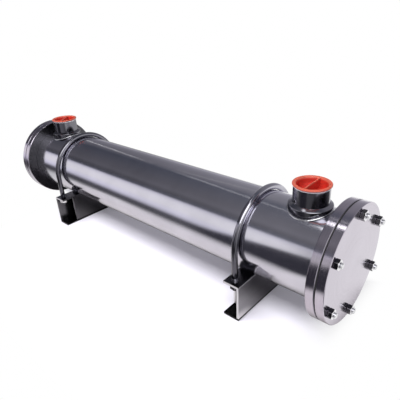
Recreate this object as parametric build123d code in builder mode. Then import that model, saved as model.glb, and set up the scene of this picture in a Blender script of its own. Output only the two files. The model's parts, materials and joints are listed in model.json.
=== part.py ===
# Shell and tube heat exchanger: a horizontal tube shell with bolted blind covers, two capped
# nozzles on top, and two channel feet that hold the shell in cut saddles under U-bolts.
# Millimetres, +Z up. The origin is on the floor under the middle of the shell, and the shell's
# axis runs along X. "near" is the +X end and "far" is the -X end.
import math
import os

from build123d import *

# Shell
shell_diameter = 219.1
shell_wall = 6.0
cover_to_cover_length = 1250.0
axis_height = 189.5

# Bolted ends
flange_overhang = 33.0
flange_thickness = 20.0
gasket_thickness = 2.5
gasket_setback = 1.5
cover_thickness = 20.0
edge_chamfer = 1.2

# Cover studs and their nuts
bolt_count = 6
bolt_circle_share = 0.45
first_bolt_angle = 30.0
stud_diameter = 14.0
stud_hole_diameter = 16.0
stud_thread_depth = 15.0
stud_end_beyond_nut = 5.5
stud_end_chamfer = 1.5
nut_across_flats = 22.0
nut_height = 11.0

# Nozzles
nozzle_inset = 114.5
nozzle_diameter = 82.5
nozzle_wall = 5.0
nozzle_top_above_axis = 162.5
nozzle_lip_chamfer = 1.2
weep_hole_diameter = 6.5
weep_hole_depth = 3.5
weep_hole_above_shell = 18.5
weep_hole_angle = 238.0

# Collars that join the nozzles to the shell: a ring with a coned top on a narrower neck
collar_wall = 9.25
collar_neck_wall = 4.25
collar_top_above_shell = 12.5
collar_shoulder_above_shell = 7.5
collar_shoulder_round = 2.5
collar_lip_above_shell = 3.5

# Plugs that close the nozzles for transport
cap_rim_overhang = 2.5
cap_rim_thickness = 4.0
cap_rim_round = 1.2
cap_skirt_wall = 2.2
cap_depth = 20.0
cap_floor_thickness = 2.5
cap_web_thickness = 3.0
cap_web_below_rim = 0.5
near_cap_web_angle = 90.0
far_cap_web_angle = 130.0

# Feet: channels across the shell, open towards the middle
near_foot_inset = 237.0
far_foot_inset = 219.0
foot_end_beyond_u_bolt = 17.0
foot_width = 47.0
foot_top_below_axis = 85.5
foot_plate = 6.0
foot_bend_radius = 2.5
foot_inner_radius = 1.5
stiffener_setback = 42.0

# U-bolts: a little wider than the shell, and seated on its top
u_bolt_rod_diameter = 16.0
u_bolt_side_gap = 4.5
u_bolt_hole_diameter = 18.0
u_bolt_nut_across_flats = 24.0
u_bolt_nut_height = 13.0
u_bolt_end_below_nut = 7.0
u_bolt_end_chamfer = 1.5

# Room between curved faces that seat on each other, and overrun of cuts
seat_gap = 0.3
cut_overrun = 5.0

# Sizes that follow
shell_radius = shell_diameter / 2
shell_bore_radius = shell_radius - shell_wall
half_length = cover_to_cover_length / 2
flange_radius = shell_radius + flange_overhang
flange_bore_radius = shell_radius + seat_gap
bolt_circle_radius = shell_radius + bolt_circle_share * flange_overhang
stud_radius = stud_diameter / 2
shell_top = axis_height + shell_radius

gasket_face = half_length - cover_thickness
flange_face = gasket_face - gasket_thickness
flange_back = flange_face - flange_thickness
shell_half_length = flange_face

nozzle_x = half_length - nozzle_inset
nozzle_radius = nozzle_diameter / 2
nozzle_bore_radius = nozzle_radius - nozzle_wall
nozzle_top = axis_height + nozzle_top_above_axis

collar_radius = nozzle_radius + collar_wall
collar_neck_radius = nozzle_radius + collar_neck_wall
collar_bore_radius = nozzle_radius + seat_gap

cap_rim_radius = nozzle_radius + cap_rim_overhang
cap_skirt_radius = nozzle_bore_radius - seat_gap
cap_cup_radius = cap_skirt_radius - cap_skirt_wall
cap_top = nozzle_top + cap_rim_thickness
cap_bottom = nozzle_top - cap_depth

rod_radius = u_bolt_rod_diameter / 2
u_bolt_radius = shell_radius + u_bolt_side_gap + rod_radius
u_bolt_arch_height = shell_top + seat_gap + rod_radius - u_bolt_radius

foot_half_width = foot_width / 2
foot_height = axis_height - foot_top_below_axis
foot_length = 2 * (u_bolt_radius + foot_end_beyond_u_bolt)
foot_top_underside = foot_height - foot_plate
stiffener_length = foot_length - 2 * stiffener_setback
stiffener_height = foot_height - 2 * foot_plate
saddle_radius = shell_radius + seat_gap

u_bolt_nut_bottom = foot_top_underside - u_bolt_nut_height
u_bolt_end = u_bolt_nut_bottom - u_bolt_end_below_nut


def end_plane(x, side):
    # A plane across the shell's axis at x, facing away from the middle; its local X is the
    # world's Y on either end
    return Plane(origin=(x, 0, axis_height), x_dir=(0, 1, 0), z_dir=(side, 0, 0))


def weep_hole_plane(side):
    # A plane on the nozzle's outside, facing away from its axis, low on the front
    angle = math.radians(weep_hole_angle)
    outwards = Vector(math.cos(angle), math.sin(angle), 0)
    foot_point = Vector(side * nozzle_x, 0, shell_top + weep_hole_above_shell)
    return Plane(origin=foot_point + outwards * nozzle_radius, z_dir=outwards)


def hexagon(across_flats):
    return RegularPolygon(across_flats / 2, 6, major_radius=False)


def bolt_places():
    return PolarLocations(bolt_circle_radius, bolt_count, start_angle=first_bolt_angle)


def save(builder, label):
    builder.part.label = label
    export_step(builder.part, f"parts/{label}.step")


os.makedirs("parts", exist_ok=True)

# The shell is one tube with a round opening under each nozzle
with BuildPart() as shell:
    with BuildSketch(end_plane(-shell_half_length, 1)):
        Circle(shell_radius)
        Circle(shell_bore_radius, mode=Mode.SUBTRACT)
    extrude(amount=2 * shell_half_length)
    with BuildSketch(Plane.XY.offset(axis_height)):
        with Locations((nozzle_x, 0), (-nozzle_x, 0)):
            Circle(collar_bore_radius)
    extrude(amount=shell_radius + cut_overrun, mode=Mode.SUBTRACT)
save(shell, "shell")

for end, side in (("near", 1), ("far", -1)):
    # Place of the outermost group when things at this end are grouped along X
    outermost = -1 if side > 0 else 0

    # The ring on the shell's end, with tapped holes for the cover studs
    with BuildPart() as shell_flange:
        with BuildSketch(end_plane(side * flange_back, side)):
            Circle(flange_radius)
        extrude(amount=flange_thickness)
        chamfer(shell_flange.edges().filter_by(GeomType.CIRCLE), edge_chamfer)
        with BuildSketch(end_plane(side * flange_back, side)):
            Circle(flange_bore_radius)
        extrude(amount=flange_thickness, mode=Mode.SUBTRACT)
        with BuildSketch(end_plane(side * flange_face, side)):
            with bolt_places():
                Circle(stud_radius + seat_gap)
        extrude(amount=-stud_thread_depth, mode=Mode.SUBTRACT)
    save(shell_flange, f"{end}_shell_flange")

    # The gasket stands back from the rims, which leaves a dark groove between them
    with BuildPart() as gasket:
        with BuildSketch(end_plane(side * flange_face, side)):
            Circle(flange_radius - gasket_setback)
            Circle(shell_bore_radius, mode=Mode.SUBTRACT)
            with bolt_places():
                Circle(stud_hole_diameter / 2, mode=Mode.SUBTRACT)
        extrude(amount=gasket_thickness)
    save(gasket, f"{end}_gasket")

    # The blind cover
    with BuildPart() as cover:
        with BuildSketch(end_plane(side * gasket_face, side)):
            Circle(flange_radius)
        extrude(amount=cover_thickness)
        chamfer(cover.edges().filter_by(GeomType.CIRCLE), edge_chamfer)
        with BuildSketch(end_plane(side * gasket_face, side)):
            with bolt_places():
                Circle(stud_hole_diameter / 2)
        extrude(amount=cover_thickness, mode=Mode.SUBTRACT)
    save(cover, f"{end}_cover")

    # Studs, screwed into the ring and standing out past their nuts
    stud_start = flange_face - stud_thread_depth
    stud_end = half_length + nut_height + stud_end_beyond_nut
    with BuildPart() as cover_studs:
        with BuildSketch(end_plane(side * stud_start, side)):
            with bolt_places():
                Circle(stud_radius)
        extrude(amount=stud_end - stud_start)
        chamfer(cover_studs.edges().group_by(Axis.X)[outermost], stud_end_chamfer)
    save(cover_studs, f"{end}_cover_studs")

    with BuildPart() as cover_nuts:
        with BuildSketch(end_plane(side * half_length, side)):
            with bolt_places():
                hexagon(nut_across_flats)
                Circle(stud_radius + seat_gap, mode=Mode.SUBTRACT)
        extrude(amount=nut_height)
    save(cover_nuts, f"{end}_cover_nuts")

    # The nozzle is set through the shell and ends flush with its bore
    nozzle_plane = Plane(origin=(side * nozzle_x, 0, axis_height))
    with BuildPart() as nozzle:
        with BuildSketch(nozzle_plane):
            Circle(nozzle_radius)
            Circle(nozzle_bore_radius, mode=Mode.SUBTRACT)
        extrude(amount=nozzle_top_above_axis)
        chamfer(nozzle.edges().group_by(Axis.Z)[-1].sort_by(SortBy.LENGTH)[-1], nozzle_lip_chamfer)
        with BuildSketch(end_plane(-half_length, 1)):
            Circle(shell_bore_radius)
        extrude(amount=cover_to_cover_length, mode=Mode.SUBTRACT)
        with BuildSketch(weep_hole_plane(side)):
            Circle(weep_hole_diameter / 2)
        extrude(amount=-weep_hole_depth, mode=Mode.SUBTRACT)
    save(nozzle, f"{end}_nozzle")

    # The collar, round on its bore and cut to the shell below
    collar_plane = Plane(origin=(side * nozzle_x, 0, shell_top), x_dir=(1, 0, 0), z_dir=(0, -1, 0))
    with BuildPart() as nozzle_collar:
        with BuildSketch(collar_plane) as collar_profile:
            with BuildLine():
                Polyline(
                    (collar_bore_radius, -shell_radius),
                    (collar_neck_radius, -shell_radius),
                    (collar_neck_radius, collar_lip_above_shell),
                    (collar_radius, collar_lip_above_shell),
                    (collar_radius, collar_shoulder_above_shell),
                    (collar_bore_radius, collar_top_above_shell),
                    close=True,
                )
            make_face()
            shoulder = collar_profile.vertices().group_by(Axis.X)[-1].sort_by(Axis.Y)[-1]
            fillet(shoulder, collar_shoulder_round)
        revolve(axis=Axis((side * nozzle_x, 0, 0), (0, 0, 1)))
        with BuildSketch(end_plane(-half_length, 1)):
            Circle(shell_radius + seat_gap)
        extrude(amount=cover_to_cover_length, mode=Mode.SUBTRACT)
    save(nozzle_collar, f"{end}_nozzle_collar")

    # The plug: a rim on the nozzle's lip, a cup inside it and one grip web across the cup
    web_angle = near_cap_web_angle if side > 0 else far_cap_web_angle
    cap_plane = Plane(origin=(side * nozzle_x, 0, cap_bottom))
    with BuildPart() as cap:
        with BuildSketch(cap_plane.offset(cap_depth)):
            Circle(cap_rim_radius)
        extrude(amount=cap_rim_thickness)
        fillet(cap.edges().filter_by(GeomType.CIRCLE), cap_rim_round)
        with BuildSketch(cap_plane):
            Circle(cap_skirt_radius)
        extrude(amount=cap_depth)
        with BuildSketch(cap_plane.offset(cap_floor_thickness)):
            Circle(cap_cup_radius)
        extrude(amount=cap_depth + cap_rim_thickness, mode=Mode.SUBTRACT)
        with BuildSketch(cap_plane.offset(cap_floor_thickness)):
            Rectangle(2 * cap_cup_radius, cap_web_thickness, rotation=web_angle)
            Circle(cap_cup_radius, mode=Mode.INTERSECT)
        extrude(amount=cap_depth + cap_rim_thickness - cap_floor_thickness - cap_web_below_rim)
    save(cap, f"{end}_cap")

    # The foot: a channel across the shell with its web outwards, cut to a saddle for the shell
    foot_inset = near_foot_inset if side > 0 else far_foot_inset
    foot_x = half_length - foot_inset
    foot_plane = Plane(origin=(side * foot_x, 0, 0), x_dir=(side, 0, 0), z_dir=(0, -side, 0))
    with BuildPart() as foot:
        with BuildSketch(foot_plane) as channel:
            with Locations((0, foot_height / 2)):
                Rectangle(foot_width, foot_height)
            with Locations((-foot_plate, foot_height / 2)):
                Rectangle(foot_width, foot_height - 2 * foot_plate, mode=Mode.SUBTRACT)
            fillet(channel.vertices().group_by(Axis.X)[-2], foot_inner_radius)
            fillet(channel.vertices().group_by(Axis.X)[-1], foot_bend_radius)
        extrude(amount=foot_length / 2, both=True)
        with BuildSketch(end_plane(-half_length, 1)):
            Circle(saddle_radius)
        extrude(amount=cover_to_cover_length, mode=Mode.SUBTRACT)
        with BuildSketch(Plane(origin=(side * foot_x, 0, foot_top_underside))):
            with Locations((0, u_bolt_radius), (0, -u_bolt_radius)):
                Circle(u_bolt_hole_diameter / 2)
        extrude(amount=foot_plate, mode=Mode.SUBTRACT)
    save(foot, f"{end}_foot")

    # A plate that closes the channel's open side and leaves both ends free for the nuts
    plate_plane = Plane(
        origin=(side * (foot_x - foot_half_width), 0, foot_height / 2), x_dir=(0, 1, 0), z_dir=(side, 0, 0)
    )
    with BuildPart() as foot_stiffener:
        with BuildSketch(plate_plane):
            Rectangle(stiffener_length, stiffener_height)
        extrude(amount=foot_plate)
        with BuildSketch(end_plane(-half_length, 1)):
            Circle(saddle_radius)
        extrude(amount=cover_to_cover_length, mode=Mode.SUBTRACT)
    save(foot_stiffener, f"{end}_foot_stiffener")

    # The U-bolt: round bar over the shell, with both legs through the foot's top
    u_bolt_plane = Plane(origin=(side * foot_x, 0, 0), x_dir=(0, 1, 0), z_dir=(1, 0, 0))
    with BuildPart() as u_bolt:
        with BuildLine(u_bolt_plane) as u_bolt_path:
            Line((-u_bolt_radius, u_bolt_end), (-u_bolt_radius, u_bolt_arch_height))
            CenterArc((0, u_bolt_arch_height), u_bolt_radius, 180, -180)
            Line((u_bolt_radius, u_bolt_arch_height), (u_bolt_radius, u_bolt_end))
        with BuildSketch(Plane(origin=(side * foot_x, -u_bolt_radius, u_bolt_end))):
            Circle(rod_radius)
        sweep(path=u_bolt_path.line)
        chamfer(u_bolt.edges().group_by(Axis.Z)[0], u_bolt_end_chamfer)
    save(u_bolt, f"{end}_u_bolt")

    with BuildPart() as u_bolt_nuts:
        with BuildSketch(Plane(origin=(side * foot_x, 0, u_bolt_nut_bottom))):
            with Locations((0, u_bolt_radius), (0, -u_bolt_radius)):
                hexagon(u_bolt_nut_across_flats)
                Circle(rod_radius + seat_gap, mode=Mode.SUBTRACT)
        extrude(amount=u_bolt_nut_height)
    save(u_bolt_nuts, f"{end}_u_bolt_nuts")
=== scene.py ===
import json
import math

import bmesh
import bpy
from mathutils import Matrix, Vector


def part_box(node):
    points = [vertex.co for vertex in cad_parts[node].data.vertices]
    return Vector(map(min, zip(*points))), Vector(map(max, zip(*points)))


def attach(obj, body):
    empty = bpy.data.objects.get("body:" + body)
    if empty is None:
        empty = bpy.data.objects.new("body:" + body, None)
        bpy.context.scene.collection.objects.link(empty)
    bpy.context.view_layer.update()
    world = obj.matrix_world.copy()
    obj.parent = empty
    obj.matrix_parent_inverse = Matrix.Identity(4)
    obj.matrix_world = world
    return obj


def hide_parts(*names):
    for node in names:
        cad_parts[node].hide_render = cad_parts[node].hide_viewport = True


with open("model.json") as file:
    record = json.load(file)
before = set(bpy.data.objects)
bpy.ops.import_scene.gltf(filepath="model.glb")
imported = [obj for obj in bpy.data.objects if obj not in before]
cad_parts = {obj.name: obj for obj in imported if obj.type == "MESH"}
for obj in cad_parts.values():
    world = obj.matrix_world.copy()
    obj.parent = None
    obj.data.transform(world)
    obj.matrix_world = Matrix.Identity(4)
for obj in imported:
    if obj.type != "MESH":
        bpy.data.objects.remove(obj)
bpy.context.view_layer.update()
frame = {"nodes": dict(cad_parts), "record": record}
scene = bpy.context.scene
scene.view_settings.view_transform = "Standard"

# Lengths are in metres, angles in degrees
MM = 0.001
UP = Vector((0, 0, 1))
ENDS = {"near": 1, "far": -1}
MERGE_DISTANCE = 0.005 * MM
THREAD_PITCH = 2 * MM
THREAD_DEPTH = 1.1 * MM
THREAD_STEPS = 24
NUT_STEPS = 72
NUT_MOUTH = 0.7 * MM
NUT_GRIP = 0.2 * MM
STUD_RADIUS = 7 * MM
STUD_TIP = 1.5 * MM
STUD_ANGLES = range(30, 390, 60)
STUD_TWISTS = (0, 70, 140, 215, 290, 20)
STUD_NUT_FLATS = 22 * MM
STUD_NUT_TWISTS = (45, 41, 49, 43, 52, 38)
U_BOLT_TIP = 1.5 * MM
U_BOLT_SIDES = 32
U_BOLT_BEND_STEPS = 180
U_BOLT_THREAD_ABOVE_FOOT = 9 * MM
U_BOLT_RUN_OUT = 2 * MM
U_BOLT_NUT_FLATS = 24 * MM
U_BOLT_NUT_TWISTS = (8, 34)
NOZZLE_WALL = 5 * MM
NOZZLE_LIP = 3.5 * MM
WEEP_HOLE_ANGLE = 238
WEEP_HOLE_HEIGHT = 0.31755
WEEP_HOLE_SHADE = 4.5 * MM
WEEP_HOLE_PIT = 5 * MM
WEEP_HOLE_EDGE = 6 * MM
WELD_RADIUS = 2 * MM
WELD_SIDES = 14
WELD_STEPS = 180
WELD_RIPPLES = 58
PLUG_STEPS = 96
PLUG_WEB_ANGLES = {"near": 90, "far": 130}
PLUG_WEB_THICKNESS = 3 * MM
PLUG_FLOOR = 2.5 * MM
JOINT_HALF_WIDTH = 2.2 * MM
FOOT_TOP = 7 * MM
FOOT_SHADE_HEIGHT = 7 * MM
FOOT_FOLD = 3 * MM
SURFACE = 0.3 * MM
FLOOR_SIZE = 9
FLOOR_DROP = 0.2 * MM
SHEET_FRONT = -0.42


def middle(node):
    low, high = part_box(node)
    return (low + high) / 2


# Places and sizes read from the solids. The shell's axis runs along X.
shell_low, shell_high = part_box("shell")
shell_radius = (shell_high.y - shell_low.y) / 2
cover_low, cover_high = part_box("near_cover")
axis_height = middle("near_cover").z
half_length = cover_high.x
flange_radius = (cover_high.y - cover_low.y) / 2
flange_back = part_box("near_shell_flange")[0].x
joint_middle = middle("near_gasket").x
nozzle_x = middle("near_nozzle").x
nozzle_low, nozzle_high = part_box("near_nozzle")
nozzle_radius = (nozzle_high.x - nozzle_low.x) / 2
collar_low, collar_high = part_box("near_nozzle_collar")
collar_radius = (collar_high.x - collar_low.x) / 2
plug_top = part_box("near_cap")[1].z
foot_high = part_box("near_foot")[1]
far_foot_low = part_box("far_foot")[0]
far_stiffener_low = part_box("far_foot_stiffener")[0]


# Shader maths

class Socket:
    """One output of a node. Arithmetic on it adds Math nodes to its tree."""

    def __init__(self, tree, socket=None):
        self.tree = tree
        self.socket = socket

    def node(self, kind, settings=None, inputs=None, output=0):
        """Adds a node, sets it up, feeds its sockets with values or links, and gives one output."""
        made = self.tree.nodes.new(kind)
        for name, value in (settings or {}).items():
            if name == "stops":
                fill_ramp(made.color_ramp, value)
            else:
                setattr(made, name, value)
        for name, value in (inputs or {}).items():
            if isinstance(value, Socket):
                self.tree.links.new(value.socket, made.inputs[name])
            else:
                made.inputs[name].default_value = value
        return Socket(self.tree, made.outputs[output]) if made.outputs else None

    def math(self, operation, *values):
        return self.node("ShaderNodeMath", {"operation": operation}, dict(enumerate(values)))

    def __add__(self, other):
        return self.math("ADD", self, other)

    def __radd__(self, other):
        return self.math("ADD", other, self)

    def __sub__(self, other):
        return self.math("SUBTRACT", self, other)

    def __rsub__(self, other):
        return self.math("SUBTRACT", other, self)

    def __mul__(self, other):
        return self.math("MULTIPLY", self, other)

    def __rmul__(self, other):
        return self.math("MULTIPLY", other, self)

    def __truediv__(self, other):
        return self.math("DIVIDE", self, other)

    def __pow__(self, other):
        return self.math("POWER", self, other)

    def __gt__(self, other):
        return self.math("GREATER_THAN", self, other)

    def __lt__(self, other):
        return self.math("LESS_THAN", self, other)

    def __abs__(self):
        return self.math("ABSOLUTE", self)

    def most(self, other):
        return self.math("MAXIMUM", self, other)

    def least(self, other):
        return self.math("MINIMUM", self, other)

    def parts(self):
        """The X, Y and Z of a vector."""
        split = self.node("ShaderNodeSeparateXYZ", None, {0: self}).socket.node
        return [Socket(self.tree, output) for output in split.outputs]

    def ramp(self, *stops):
        """A grey or colour that changes with this value, from (position, colour) stops."""
        return self.node("ShaderNodeValToRGB", {"stops": stops}, {0: self})

    def step(self, low, high):
        """0 below low, 1 above high, and smooth between them."""
        return self.node(
            "ShaderNodeMapRange",
            {"interpolation_type": "SMOOTHSTEP"},
            {"Value": self, "From Min": low, "From Max": high},
        )

    def noise(self, scale, detail=3.0, roughness=0.55, stretch=(1, 1, 1)):
        """Noise over this vector, stretched by the factors of its axes."""
        placed = self.node("ShaderNodeMapping", None, {"Vector": self, "Scale": stretch})
        return self.node(
            "ShaderNodeTexNoise",
            None,
            {"Vector": placed, "Scale": scale, "Detail": detail, "Roughness": roughness},
        )

    def mixed(self, first, second):
        """Colour first where this value is 0, and second where it is 1."""
        colours = {"Factor": self, 6: first, 7: second}
        return self.node("ShaderNodeMix", {"data_type": "RGBA"}, colours, 2)


def fill_ramp(ramp, stops):
    while len(ramp.elements) < len(stops):
        ramp.elements.new(1)
    for element, (position, colour) in zip(ramp.elements, stops):
        element.position = position
        element.color = (*colour, 1)


def grey(level):
    return (level, level, level, 1)


class Finish:
    """A material with a Principled shader that reads Object coordinates."""

    def __init__(self, name, **constants):
        self.material = bpy.data.materials.new(name)
        self.material.use_nodes = True
        self.tree = self.material.node_tree
        self.shader = self.tree.nodes["Principled BSDF"]
        self.place = Socket(self.tree).node("ShaderNodeTexCoord", output=3)
        self.feed(**constants)

    def feed(self, **inputs):
        """Sets or links the shader's sockets, named with _ for a space."""
        for name, value in inputs.items():
            socket = self.shader.inputs[name.replace("_", " ")]
            if isinstance(value, Socket):
                self.tree.links.new(value.socket, socket)
            else:
                socket.default_value = value

    def facing(self):
        """The X, Y and Z of the surface's own normal."""
        return Socket(self.tree).node("ShaderNodeTexCoord", output=1).parts()

    def bump(self, height, depth):
        """A bump of the given depth in metres, fed to Normal."""
        settings = {"Strength": 1, "Distance": depth, "Height": height}
        self.feed(Normal=height.node("ShaderNodeBump", None, settings))


def steel(name, dark, bright, roughness, spread):
    """Bare steel: a metal whose tone and polish drift over the surface in soft clouds."""
    finish = Finish(name, Metallic=1.0)
    clouds = finish.place.noise(9, 4)
    finish.tone = clouds.step(0.3, 0.7).mixed(dark, bright)
    finish.feed(Base_Color=finish.tone)
    smears = finish.place.noise(38, 5, 0.6)
    finish.polish = roughness + spread * (smears - 0.5)
    finish.feed(Roughness=finish.polish)
    return finish


def polished_shell_steel():
    """Drawn tube, polished lengthways, with a few longer scuffs."""
    finish = steel("polished_shell_steel", (0.6, 0.592, 0.65, 1), (0.67, 0.66, 0.725, 1), 0.14, 0.06)
    lines = finish.place.noise(1, 3, 0.6, (5, 900, 900))
    scuffs = finish.place.noise(1, 2, 0.5, (14, 160, 160)).step(0.66, 0.8)
    finish.feed(Roughness=finish.polish + 0.05 * (lines - 0.5) + 0.08 * scuffs)
    finish.bump(lines, 0.02 * MM)
    return finish


def turned_flange_steel():
    """Turned plate with rings of tool marks, edges at the joint painted dark as painted shade, and a dark,
    mottled back face.
    """
    dark, bright = (0.52, 0.48, 0.545, 1), (0.585, 0.543, 0.614, 1)
    finish = steel("turned_flange_steel", dark, bright, 0.14, 0.05)
    x, y, z = finish.place.parts()
    height = z - axis_height
    radius = (y * y + height * height) ** 0.5
    rings = x.node("ShaderNodeCombineXYZ", None, {0: x, 1: radius})
    marks = rings.noise(4200, 2)
    bands = rings.noise(420, 2)
    back = (abs(x) < flange_back + SURFACE) * (radius < flange_radius - 1.5 * MM)
    # Painted shade: the metal edges beside the gasket are painted dark. The back face is dark and mottled.
    joint = abs(abs(x) - joint_middle) < JOINT_HALF_WIDTH
    base_tone = finish.place.noise(55, 5, 0.65).mixed((0.05, 0.05, 0.056, 1), (0.12, 0.118, 0.128, 1))
    ringed = (0.75 * bands + 0.25 * marks).step(0.2, 0.8).mixed(finish.tone, (0.6, 0.556, 0.63, 1))
    dark_back_and_joint_shade = joint.mixed(base_tone, (0.27, 0.25, 0.3, 1))
    finish.feed(Base_Color=back.most(joint).mixed(ringed, dark_back_and_joint_shade))
    finish.feed(Roughness=finish.polish + 0.06 * (bands - 0.5) + 0.14 * back)
    finish.bump(marks, 0.03 * MM)
    return finish


def gasket_black():
    """Pressed fibre sheet, dull and nearly black."""
    finish = Finish("gasket_black")
    fibres = finish.place.noise(220, 4)
    finish.feed(Base_Color=fibres.mixed(grey(0.006), grey(0.022)), Roughness=0.65 + 0.3 * fibres)
    finish.bump(fibres, 0.2 * MM)
    return finish


def bright_stud_steel():
    """Plated steel and bare weld metal, bright and uneven. The nuts under the near foot have painted shade:
    their flats are painted near black.
    """
    finish = steel("bright_stud_steel", (0.68, 0.68, 0.7, 1), (0.82, 0.82, 0.84, 1), 0.2, 0.12)
    x, _, z = finish.place.parts()
    # Painted shade: the flats of the nuts under the near foot are painted near black.
    shaded_under_near_foot = (x > 0) * (x < nozzle_low.x) * (z < foot_high.z)
    flats = shaded_under_near_foot * (abs(finish.facing()[0]) < 0.5)
    finish.feed(Base_Color=flats.mixed(finish.tone, (0.045, 0.044, 0.05, 1)))
    grain = finish.place.noise(1400, 3)
    finish.bump(grain, 0.02 * MM)
    return finish


def plated_nut_steel():
    """Plated nuts with bright end faces and dark flats, darker in patches where spanners have been."""
    finish = steel("plated_nut_steel", (0.12, 0.118, 0.126, 1), (0.18, 0.177, 0.187, 1), 0.1, 0.04)
    marked = finish.place.noise(260, 4, 0.6).step(0.52, 0.72)
    end_face = abs(finish.facing()[0]).step(0.3, 0.45)
    flats = marked.mixed(finish.tone, (0.07, 0.068, 0.074, 1))
    finish.feed(Base_Color=end_face.mixed(flats, (0.86, 0.85, 0.87, 1)))
    finish.feed(Roughness=finish.polish + 0.14 * marked)
    return finish


def dark_nozzle_steel():
    """Dark drawn pipe with a lighter ring round the weep hole. Painted shade makes the far one darker and
    the weep hole near black; the bare lip is painted lighter as a painted highlight.
    """
    finish = steel("dark_nozzle_steel", (0.29, 0.284, 0.315, 1), (0.36, 0.352, 0.39, 1), 0.16, 0.06)
    x, y, z = finish.place.parts()
    lines = finish.place.noise(1, 3, 0.6, (700, 700, 8))
    along = x - nozzle_x * x.math("SIGN", x)
    radius = (along * along + y * y) ** 0.5
    angle = math.radians(WEEP_HOLE_ANGLE)
    from_hole = (
        (along - nozzle_radius * math.cos(angle)) ** 2
        + (y - nozzle_radius * math.sin(angle)) ** 2
        + (z - WEEP_HOLE_HEIGHT) ** 2
    ) ** 0.5
    outside = radius > nozzle_radius - SURFACE
    # The ring round the weep hole is lighter. Painted shade: the hole, its walls and the pipe just round it
    # are painted near black.
    edge = (from_hole < WEEP_HOLE_EDGE) * outside
    shaded_pit = (from_hole < WEEP_HOLE_PIT) * (1 - outside) * (radius > nozzle_radius - 4 * MM)
    hole = shaded_pit.most(from_hole < WEEP_HOLE_SHADE)
    # The lip is bare metal, painted lighter and less metallic as a painted highlight.
    lip = z > nozzle_high.z - NOZZLE_LIP
    bare = edge.most(lip)
    # Painted shade: the far nozzle is painted darker.
    drawn = (x < 0).mixed(finish.tone, (0.2, 0.196, 0.22, 1))
    pipe = bare.mixed(drawn, (0.8, 0.79, 0.82, 1))
    finish.feed(Metallic=1 - 0.6 * lip)
    finish.feed(Base_Color=hole.mixed(pipe, grey(0.012)))
    finish.feed(Roughness=finish.polish + 0.04 * (lines - 0.5) + 0.14 * bare + 0.4 * hole)
    finish.bump(lines, 0.015 * MM)
    return finish


def dark_bar_steel():
    """Polished bar, ground across its length, so the marks follow it. Painted shade makes the legs and the
    far bar darker.
    """
    finish = steel("dark_bar_steel", (0.42, 0.411, 0.46, 1), (0.5, 0.49, 0.55, 1), 0.13, 0.06)
    x, y, z = finish.place.parts()
    rise = z - axis_height
    run = shell_radius * rise.math("ARCTAN2", abs(y), rise.most(0)) + (-1 * rise).most(0)
    marks = run.node("ShaderNodeCombineXYZ", None, {0: run}).noise(2400, 3)
    flecks = finish.place.noise(520, 4, 0.6)
    # Painted shade: the bar is painted darker from the arch down its legs, and the far bar is painted
    # darker than the near one.
    leg = 1 - rise.step(20 * MM, 105 * MM)
    arch = (x < 0).mixed(finish.tone, (0.25, 0.245, 0.275, 1))
    finish.feed(Base_Color=leg.mixed(arch, (0.12, 0.118, 0.138, 1)))
    finish.feed(Roughness=finish.polish + 0.08 * (flecks - 0.5))
    finish.bump(0.7 * marks + 0.3 * flecks, 0.006 * MM)
    return finish


def red_plug_plastic():
    """Moulded plastic, painted paler at the rim as painted light, with a fine moulded grain."""
    finish = Finish("red_plug_plastic")
    height = finish.place.parts()[2]
    swirls = finish.place.noise(60, 3)
    deep = swirls.mixed((0.47, 0.02, 0.012, 1), (0.55, 0.034, 0.02, 1))
    # Painted light: the rim is painted paler than the cup.
    rim = height.step(plug_top - 5 * MM, plug_top - 0.6 * MM)
    finish.feed(Base_Color=rim.mixed(deep, (0.54, 0.105, 0.062, 1)))
    grain = finish.place.noise(1500, 2)
    finish.feed(Roughness=0.32 + 0.16 * grain)
    finish.bump(grain, 0.06 * MM)
    return finish


def foot_plate_steel():
    """Folded dark rolled plate, with painted highlights on the outer web, painted shade on its tops and
    near the floor, and bare where it was sawn.
    """
    finish = steel("foot_plate_steel", (0.1, 0.098, 0.108, 1), (0.15, 0.147, 0.16, 1), 0.24, 0.08)
    x, y, z = finish.place.parts()
    _, across, upwards = finish.facing()
    # Painted light: the outer web is painted lighter than the rest, with painted highlights at its lower
    # ends and along its top fold, over a little random mottle.
    outer = (x > foot_high.x - SURFACE).most(x < far_foot_low.x + SURFACE)
    web = outer * (z > 3.5 * MM)
    inwards = 0.5 * (foot_high.y - abs(y))
    painted_corner_highlight = 1 - ((inwards * inwards + z * z) ** 0.5).step(0.01, 0.036)
    rolled = finish.place.noise(1, 3, 0.5, (60, 4, 90))
    painted_highlight_and_mottle = (0.85 * painted_corner_highlight + 0.15 * rolled).most(z > foot_high.z - FOOT_FOLD)
    marked = painted_highlight_and_mottle.mixed((0.29, 0.287, 0.32, 1), (0.95, 0.935, 0.98, 1))
    # Painted shade: faces that look up are painted darker.
    shaded_top = (upwards > 0.9).mixed(finish.tone, (0.07, 0.069, 0.078, 1))
    base_tone = web.mixed(shaded_top, marked)
    # The far channel keeps dark ends as painted shade, apart from its top. The stiffeners' ends are bare on
    # both feet.
    cut = abs(across) > 0.9
    saw = finish.place.noise(1, 2, 0.5, (300, 300, 2500))
    bare = saw.mixed((0.62, 0.61, 0.64, 1), (0.86, 0.85, 0.88, 1))
    bright_sawn_ends = cut * (x > far_stiffener_low.x - 0.2 * MM).most(z > foot_high.z - FOOT_TOP)
    # Painted shade: everything within a few millimetres of the floor is painted near black.
    floor_shade = (z < FOOT_SHADE_HEIGHT) * (z > 0.2 * MM)
    finish.feed(Base_Color=floor_shade.mixed(bright_sawn_ends.mixed(base_tone, bare), grey(0.012)))
    pits = finish.place.noise(900, 3)
    finish.feed(Roughness=finish.polish - 0.06 * web + 0.06 * (pits - 0.5) + 0.1 * cut)
    finish.bump(pits, 0.02 * MM)
    return finish


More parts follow.
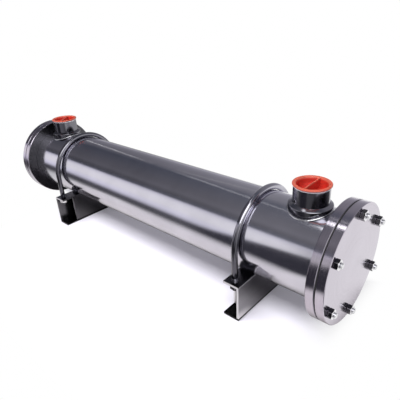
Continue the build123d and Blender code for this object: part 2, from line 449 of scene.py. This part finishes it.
finishes = {}
for make_finish in (
    polished_shell_steel,
    turned_flange_steel,
    gasket_black,
    bright_stud_steel,
    plated_nut_steel,
    dark_nozzle_steel,
    dark_bar_steel,
    red_plug_plastic,
    foot_plate_steel,
):
    finishes[make_finish.__name__] = make_finish().material

slot_of = {part["node"]: part["material_slot"] for part in frame["record"]["subparts"]}
for name, node in frame["nodes"].items():
    node.material_slots[0].material = finishes[slot_of[name]]


# Pieces

def linked(name, data):
    thing = bpy.data.objects.new(name, data)
    scene.collection.objects.link(thing)
    return thing


def everything(bm):
    return bm.verts[:] + bm.edges[:] + bm.faces[:]


def only(kind, geometry):
    return [item for item in geometry if isinstance(item, kind)]


def new_piece(name, bm, slot, *stands_for, crease=35):
    """Closes a bmesh into a piece that rides on the root body and stands for CAD nodes."""
    bmesh.ops.remove_doubles(bm, verts=bm.verts, dist=MERGE_DISTANCE)
    bmesh.ops.recalc_face_normals(bm, faces=bm.faces)
    mesh = bpy.data.meshes.new(name)
    bm.to_mesh(mesh)
    bm.free()
    mesh.shade_smooth()
    mesh.set_sharp_from_angle(angle=math.radians(crease))
    mesh.materials.append(finishes[slot])
    piece = linked(name, mesh)
    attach(piece, "root")
    if stands_for:
        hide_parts(*stands_for)


def set_at(bm, places):
    """Puts a copy of the bmesh's shape at each place."""
    shape = everything(bm)
    for place in places[1:]:
        copy = bmesh.ops.duplicate(bm, geom=shape)["geom"]
        bmesh.ops.transform(bm, matrix=place, verts=only(bmesh.types.BMVert, copy))
    bmesh.ops.transform(bm, matrix=places[0], verts=only(bmesh.types.BMVert, shape))


def twisted(twist):
    return Matrix.Rotation(math.radians(twist), 4, "Z")


def turned(profile, steps, closed=True):
    """A profile of (radius, height) points, turned once round Z. An open one starts and ends on Z."""
    bm = bmesh.new()
    points = [bm.verts.new((radius, 0, height)) for radius, height in profile]
    ends = points[1:] + points[:1] if closed else points[1:]
    sides = [bm.edges.new(pair) for pair in zip(points, ends)]
    bmesh.ops.spin(
        bm, geom=points + sides, cent=(0, 0, 0), axis=UP, angle=math.tau, steps=steps, use_merge=True
    )
    return bm


def cut_flat(bm, point, outwards):
    """Cuts away what lies outwards of a plane and closes the cut."""
    cut = bmesh.ops.bisect_plane(
        bm, geom=everything(bm), dist=0.001 * MM, plane_co=point, plane_no=outwards, clear_outer=True
    )
    bmesh.ops.edgeloop_fill(bm, edges=only(bmesh.types.BMEdge, cut["geom_cut"]))


def nut(across_flats, height, bore):
    """A hexagon nut whose corners are turned back at both faces, its bore mouth countersunk."""
    flat = across_flats / 2
    corner = 0.985 * flat / math.cos(math.radians(30))
    face = 0.94 * flat
    turn_back = (corner - face) * math.tan(math.radians(32))
    bm = turned(
        (
            (bore, NUT_MOUTH),
            (bore + NUT_MOUTH, 0),
            (face, 0),
            (corner, turn_back),
            (corner, height - turn_back),
            (face, height),
            (bore + NUT_MOUTH, height),
            (bore, height - NUT_MOUTH),
        ),
        NUT_STEPS,
    )
    for side in range(6):
        outwards = Matrix.Rotation(side * math.tau / 6, 3, "Z") @ Vector((0, 1, 0))
        cut_flat(bm, outwards * flat, outwards)
    return bm


def threaded_bar(radius, low, high, tip):
    """A bar along Z with a coarse thread over its whole length and chamfered tips."""
    turns = math.ceil((high - low) / THREAD_PITCH) + 2
    root = radius - THREAD_DEPTH
    bm = bmesh.new()
    ridge = ((root, 0), (radius, 0.44), (radius, 0.56), (root, 1))
    points = [bm.verts.new((r, 0, low + (share - 1) * THREAD_PITCH)) for r, share in ridge]
    sides = [bm.edges.new(pair) for pair in zip(points, points[1:])]
    bmesh.ops.spin(
        bm,
        geom=points + sides,
        cent=(0, 0, 0),
        axis=UP,
        dvec=(0, 0, THREAD_PITCH / THREAD_STEPS),
        angle=math.tau * turns,
        steps=THREAD_STEPS * turns,
    )
    bmesh.ops.remove_doubles(bm, verts=bm.verts, dist=MERGE_DISTANCE)
    cut_flat(bm, (0, 0, low), -UP)
    cut_flat(bm, (0, 0, high), UP)
    for point in bm.verts:
        limit = radius - tip + min(point.co.z - low, high - point.co.z)
        reach = point.co.xy.length
        if reach > limit:
            point.co.xy *= limit / reach
    return bm


def joined(*shapes):
    """One bmesh that holds several."""
    whole = bmesh.new()
    for shape in shapes:
        mesh = bpy.data.meshes.new("shape")
        shape.to_mesh(mesh)
        shape.free()
        whole.from_mesh(mesh)
        bpy.data.meshes.remove(mesh)
    return whole


def cover_fasteners(end):
    """Six studs with their nuts on one cover."""
    stud_low, stud_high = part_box(f"{end}_cover_studs")
    nut_low, nut_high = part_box(f"{end}_cover_nuts")
    circle = (stud_high.z - stud_low.z) / 2 - STUD_RADIUS
    along = Matrix.Rotation(math.radians(90), 4, "Y")

    def places(x, twists):
        made = []
        for angle, twist in zip(map(math.radians, STUD_ANGLES), twists):
            spot = Vector((x, circle * math.cos(angle), axis_height + circle * math.sin(angle)))
            made.append(Matrix.Translation(spot) @ along @ twisted(twist))
        return made

    studs = threaded_bar(STUD_RADIUS, 0, stud_high.x - stud_low.x, STUD_TIP)
    set_at(studs, places(stud_low.x, STUD_TWISTS))
    new_piece(f"{end}_stud_set", studs, "bright_stud_steel", f"{end}_cover_studs")
    nuts = nut(STUD_NUT_FLATS, nut_high.x - nut_low.x, STUD_RADIUS - NUT_GRIP)
    set_at(nuts, places(nut_low.x, STUD_NUT_TWISTS))
    new_piece(f"{end}_nut_set", nuts, "plated_nut_steel", f"{end}_cover_nuts")


def u_bolt(end):
    """A round bar bent over the shell, threaded at its two legs, with a nut under the foot on each."""
    low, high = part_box(f"{end}_u_bolt")
    nut_low, nut_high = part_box(f"{end}_u_bolt_nuts")
    x = (low.x + high.x) / 2
    rod = (high.x - low.x) / 2
    leg = (high.y - low.y) / 2 - rod
    arch = high.z - rod - leg
    thread_top = foot_high.z + U_BOLT_THREAD_ABOVE_FOOT
    plain_low = thread_top + U_BOLT_RUN_OUT
    bm = bmesh.new()
    bmesh.ops.create_circle(bm, segments=U_BOLT_SIDES, radius=rod)
    bmesh.ops.translate(bm, verts=bm.verts, vec=(x, -leg, plain_low))
    foot_ring = bm.edges[:]

    def drawn(ring, rise, scale=1.0):
        """The ring drawn out straight along Z, and made smaller or not."""
        made = bmesh.ops.extrude_edge_only(bm, edges=ring)["geom"]
        points = only(bmesh.types.BMVert, made)
        bmesh.ops.translate(bm, verts=points, vec=(0, 0, rise))
        centre = Matrix.Translation(-sum((point.co for point in points), Vector()) / len(points))
        bmesh.ops.scale(bm, verts=points, vec=(scale, scale, 1), space=centre)
        return only(bmesh.types.BMEdge, made)

    up_leg = drawn(foot_ring, arch - plain_low)
    bend = bmesh.ops.spin(
        bm, geom=up_leg, cent=(x, 0, arch), axis=(-1, 0, 0), angle=math.pi, steps=U_BOLT_BEND_STEPS
    )
    down_leg = drawn(only(bmesh.types.BMEdge, bend["geom_last"]), plain_low - arch)
    taper = 1 - 1.2 * THREAD_DEPTH / rod
    for ring in (foot_ring, down_leg):
        neck = drawn(ring, -U_BOLT_RUN_OUT, taper)
        bmesh.ops.edgeloop_fill(bm, edges=neck)
    threads = threaded_bar(rod, low.z, thread_top + U_BOLT_RUN_OUT / 2, U_BOLT_TIP)
    legs = (Vector((x, -leg, 0)), Vector((x, leg, 0)))
    set_at(threads, [Matrix.Translation(spot) for spot in legs])
    new_piece(f"{end}_u_bar", joined(bm, threads), "dark_bar_steel", f"{end}_u_bolt")
    nuts = nut(U_BOLT_NUT_FLATS, nut_high.z - nut_low.z, rod - NUT_GRIP)
    spots = [Matrix.Translation(spot + nut_low.z * UP) for spot in legs]
    set_at(nuts, [spot @ twisted(twist) for spot, twist in zip(spots, U_BOLT_NUT_TWISTS)])
    new_piece(f"{end}_u_bar_nuts", nuts, "bright_stud_steel", f"{end}_u_bolt_nuts")


def plug(end):
    """A moulded plug: a thin cup with a flared mouth, a beaded rim over the nozzle, and a grip web."""
    low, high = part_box(f"{end}_cap")
    rim = (high.x - low.x) / 2
    bore = nozzle_radius - NOZZLE_WALL
    floor = low.z + PLUG_FLOOR
    top = high.z
    seat = nozzle_high.z
    outline = (
        (0, floor),
        (bore - 4.2 * MM, floor),
        (bore - 3.1 * MM, floor + 0.9 * MM),
        (bore - 2.2 * MM, seat - 3 * MM),
        (bore - 1.6 * MM, seat + 0.6 * MM),
        (bore - 0.4 * MM, top - 1.2 * MM),
        (bore + 0.7 * MM, top - 0.3 * MM),
        (bore + 1.5 * MM, top),
        (bore + 2.3 * MM, top - 0.2 * MM),
        (bore + 3.0 * MM, top - 0.9 * MM),
        (rim - 1.9 * MM, top - 0.9 * MM),
        (rim - 1.3 * MM, top - 0.3 * MM),
        (rim - 0.7 * MM, top - 0.3 * MM),
        (rim, top - 1.1 * MM),
        (rim, seat + 1.0 * MM),
        (rim - 0.6 * MM, seat + 0.3 * MM),
        (bore - 0.3 * MM, seat + 0.3 * MM),
        (bore - 0.3 * MM, low.z + 3 * MM),
        (bore - 1.2 * MM, low.z),
        (0, low.z),
    )
    cup = turned(outline, PLUG_STEPS, closed=False)
    web = bmesh.new()
    bmesh.ops.create_cube(web, size=1)
    web_low = low.z + 1 * MM
    web_height = top - 0.6 * MM - web_low
    bmesh.ops.scale(web, verts=web.verts, vec=(2 * bore - 3.8 * MM, PLUG_WEB_THICKNESS, web_height))
    bmesh.ops.translate(web, verts=web.verts, vec=(0, 0, web_low + web_height / 2))
    crest = [edge for edge in web.edges if all(point.co.z > top - 1 * MM for point in edge.verts)]
    long_edges = [edge for edge in crest if edge.calc_length() > bore]
    bmesh.ops.bevel(
        web, geom=long_edges, offset=0.9 * MM, affect="EDGES", segments=3, profile=0.5, material=-1
    )
    whole = joined(cup, web)
    place = Matrix.Translation((ENDS[end] * nozzle_x, 0, 0))
    set_at(whole, [place @ twisted(PLUG_WEB_ANGLES[end])])
    new_piece(f"{end}_plug", whole, "red_plug_plastic", f"{end}_cap", crease=50)


def weld_ring(end):
    """The rippled fillet weld that closes the nozzle's collar to the shell."""
    bm = bmesh.new()
    bmesh.ops.create_circle(bm, segments=WELD_SIDES, radius=WELD_RADIUS)
    bmesh.ops.rotate(bm, verts=bm.verts, matrix=Matrix.Rotation(math.radians(90), 3, "X"))
    bmesh.ops.translate(bm, verts=bm.verts, vec=(collar_radius + 0.6 * MM, 0, 0))
    bmesh.ops.spin(
        bm,
        geom=everything(bm),
        cent=(0, 0, 0),
        axis=UP,
        angle=math.tau,
        steps=WELD_STEPS,
        use_merge=True,
    )
    for point in bm.verts:
        turn = math.atan2(point.co.y, point.co.x)
        ripple = 1 + 0.1 * math.sin(WELD_RIPPLES * turn + 2 * math.sin(3 * turn))
        rise = math.sqrt(shell_radius ** 2 - point.co.y ** 2)
        point.co.z = ripple * point.co.z + axis_height + rise
    bmesh.ops.translate(bm, verts=bm.verts, vec=(ENDS[end] * nozzle_x, 0, 0))
    new_piece(f"{end}_collar_weld", bm, "bright_stud_steel")


for end in ENDS:
    cover_fasteners(end)
    u_bolt(end)
    plug(end)
    weld_ring(end)


# Studio

def studio_world():
    """A white room to the camera. Metal sees a dark ceiling, a white wall in front and a pale back."""
    world = bpy.data.worlds.new("studio")
    world.use_nodes = True
    scene.world = world
    tree = world.node_tree
    direction = Socket(tree).node("ShaderNodeTexCoord", output=0)
    along, across, upwards = direction.parts()
    turn = direction.math("ARCTAN2", -1 * across, upwards) / math.tau + 0.5
    dark = (0.107, 0.114, 0.142)

    def at(degrees, level):
        """A stop of the ramp that runs round the shell, from straight up to the front and the back."""
        colour = dark if level is dark else (level, 0.985 * level, min(1.1 * level, 1.0))
        return (degrees / 360 + 0.5, colour)

    room = turn.ramp(
        at(-180, 1.0),
        at(-112, 1.0),
        at(-98, 0.75),
        at(-86, 0.42),
        at(-76, 0.3),
        at(-60, 0.25),
        at(-40, 0.22),
        at(-22, dark),
        at(24, 0.16),
        at(36, 0.18),
        at(46, 0.125),
        at(57, dark),
        at(59.5, 0.72),
        at(68, 0.98),
        at(84, 1.0),
        at(98, 0.9),
        at(106, 0.6),
        at(112, 0.14),
        at(132, 0.09),
        at(160, 0.5),
    )
    # The room is darker towards the far end, and low in front of the near end
    darkening = 0.88 + 0.4 * (-1 * along).step(0.4, 0.98)
    dimmed = room.node("ShaderNodeGamma", None, {"Color": room, "Gamma": darkening})
    doorway = along.step(-0.42, -0.34) * (across < 0) * (1 - upwards.step(0.4, 0.5))
    shaded = (0.5 * doorway).mixed(dimmed, grey(0.08))
    # A dark bench stands in front
    slant = 0.675 - 1.25 * (along / across)
    bench = (slant.least(0.25) - upwards).step(-0.05, 0.03) * (across < 0) * (along < 0)
    benched = bench.mixed(shaded, (0.044, 0.043, 0.055, 1))
    # Two thin lamps cross the ceiling, the second one fainter
    tubes = (along < -0.74).most(along > -0.67) * (along < 0) * (upwards > 0.2)
    lamp_line = (1 - abs(across + 0.527 * along).step(0.005, 0.012)) * tubes
    once_lit = lamp_line.mixed(benched, grey(0.95))
    edge = 0.162 * across - 0.593 * along - 0.788 * upwards
    edge_line = (1 - abs(edge).step(0.004, 0.011)) * (along < -0.5) * (along > -0.67) * (across > 0.4)
    twice_lit = edge_line.mixed(once_lit, grey(0.5))
    # A pale card leans low on the left, and the wall past the near end is white
    low_down = (-1 * upwards).step(0.41, 0.45)
    card = (1 - abs(across - 0.54 * along).step(0.07, 0.1)) * (along < 0) * low_down
    carded = card.mixed(twice_lit, grey(0.9))
    walled = along.step(0.72, 0.86).mixed(carded, grey(1))
    camera_ray = Socket(tree).node("ShaderNodeLightPath", output=0)
    background = tree.nodes["Background"]
    tree.links.new(camera_ray.mixed(walled, grey(1)).socket, background.inputs["Color"])
    background.inputs["Strength"].default_value = 1


def studio_floor():
    """A pale floor that keeps the shadow. Metal sees it end a little way in front of the plant."""
    bm = bmesh.new()
    bmesh.ops.create_grid(bm, x_segments=8, y_segments=8, size=FLOOR_SIZE)
    mesh = bpy.data.meshes.new("floor")
    bm.to_mesh(mesh)
    bm.free()
    floor = linked("floor", mesh)
    floor.location.z = -FLOOR_DROP
    material = bpy.data.materials.new("floor_paper")
    material.use_nodes = True
    tree = material.node_tree
    tree.nodes.clear()
    place = Socket(tree).node("ShaderNodeTexCoord", output=3)
    camera_ray = Socket(tree).node("ShaderNodeLightPath", output=0)
    glossy_ray = Socket(tree).node("ShaderNodeLightPath", output=3)
    x, y = place.parts()[:2]
    beside = (abs(x) - half_length).most(0)
    behind = (abs(y) - flange_radius).most(0)
    # Metal sees the floor darker under the plant, a painted shadow
    inset = abs(y) - 0.045 * x.step(0.42, 0.56)
    open_floor = inset.most(4 * beside).step(0, 0.11)
    in_metal = open_floor.mixed((0.39, 0.375, 0.375, 1), (0.74, 0.71, 0.71, 1))
    tone = glossy_ray.mixed((0.86, 0.84, 0.92, 1), in_metal)
    paper = place.node("ShaderNodeBsdfDiffuse", None, {"Color": tone})
    lift = place.node("ShaderNodeEmission", None, {"Color": grey(1), "Strength": camera_ray * 0.07})
    lit = place.node("ShaderNodeAddShader", None, {0: paper, 1: lift})
    # It turns white away from the plant, and close by at both ends, where this painted light covers the
    # shadow
    dimmer = glossy_ray * 0.66 * (-1 * x).step(0.2, 1.7)
    white = place.node("ShaderNodeEmission", None, {"Color": grey(1), "Strength": 1 - dimmer})
    distance = (((3 + 4 * (x > 0)) * beside) ** 2 + ((1 + 3 * (y > 0)) * behind) ** 2) ** 0.5
    far_off = distance.step(0.02, 0.4) * camera_ray.most(glossy_ray)
    far_front = (-1 * x).step(0.44, 0.58) * (1 - y.step(0.015, 0.045))
    at_ends = x.step(0.5, 0.64).most(far_front) * camera_ray
    ground = place.node("ShaderNodeMixShader", None, {0: far_off.most(at_ends), 1: lit, 2: white})
    # In metal it ends in front, nearer to the plant towards the near end
    reach = y + 0.12 * x.step(0.38, 0.52)
    ended = 1 - reach.step(SHEET_FRONT, SHEET_FRONT + 0.22)
    near_front = x.step(0.56, 0.62) * (1 - y.step(-0.22, -0.14))
    in_front = glossy_ray * ended.most(near_front)
    through = place.node("ShaderNodeBsdfTransparent")
    shown = place.node("ShaderNodeMixShader", None, {0: in_front, 1: ground, 2: through})
    place.node("ShaderNodeOutputMaterial", None, {"Surface": shown})
    mesh.materials.append(material)


def soft_lamp(name, place, target, size, power, in_metal):
    """A soft rectangular lamp that lights the surfaces, or only shows in metal."""
    data = bpy.data.lights.new(name, "AREA")
    data.shape = "RECTANGLE"
    data.size, data.size_y = size
    data.energy = power
    lamp = linked(name, data)
    lamp.location = place
    lamp.rotation_euler = (Vector(target) - Vector(place)).to_track_quat("-Z", "Y").to_euler()
    lamp.visible_glossy = in_metal
    lamp.visible_diffuse = not in_metal


def studio_camera():
    """The photograph's camera, placed from the middle of the near cover's outer face."""
    azimuth, elevation, roll = map(math.radians, (43.46, 26.21, -3.1))
    focal_share = 1.0014
    from_cover = Vector((0.2542, -0.7489, 0.5314))
    level = math.cos(elevation)
    back = Vector((math.sin(azimuth) * level, -math.cos(azimuth) * level, math.sin(elevation)))
    right = UP.cross(back).normalized()
    axes = Matrix((right, back.cross(right), back)).transposed().to_4x4()
    data = bpy.data.cameras.new("camera")
    data.sensor_width = 36
    data.lens = focal_share * data.sensor_width
    camera = linked("camera", data)
    place = Matrix.Translation(Vector((half_length, 0, axis_height)) + from_cover)
    camera.matrix_world = place @ Matrix.Rotation(roll, 4, back) @ axes
    scene.camera = camera


studio_world()
studio_floor()
soft_lamp("key_lamp", (0.1, -1.15, 2.2), (0, 0, 0.1), size=(2.6, 0.9), power=75, in_metal=False)
soft_lamp("strip_lamp", (0, -0.1, 2.2), (0, -0.1, 0), size=(0.28, 0.22), power=0.55, in_metal=True)
soft_lamp("end_lamp", (1.8, -1.6, 2.2), (1.8, -1.6, 0), size=(2.4, 2.8), power=60, in_metal=True)
studio_camera()
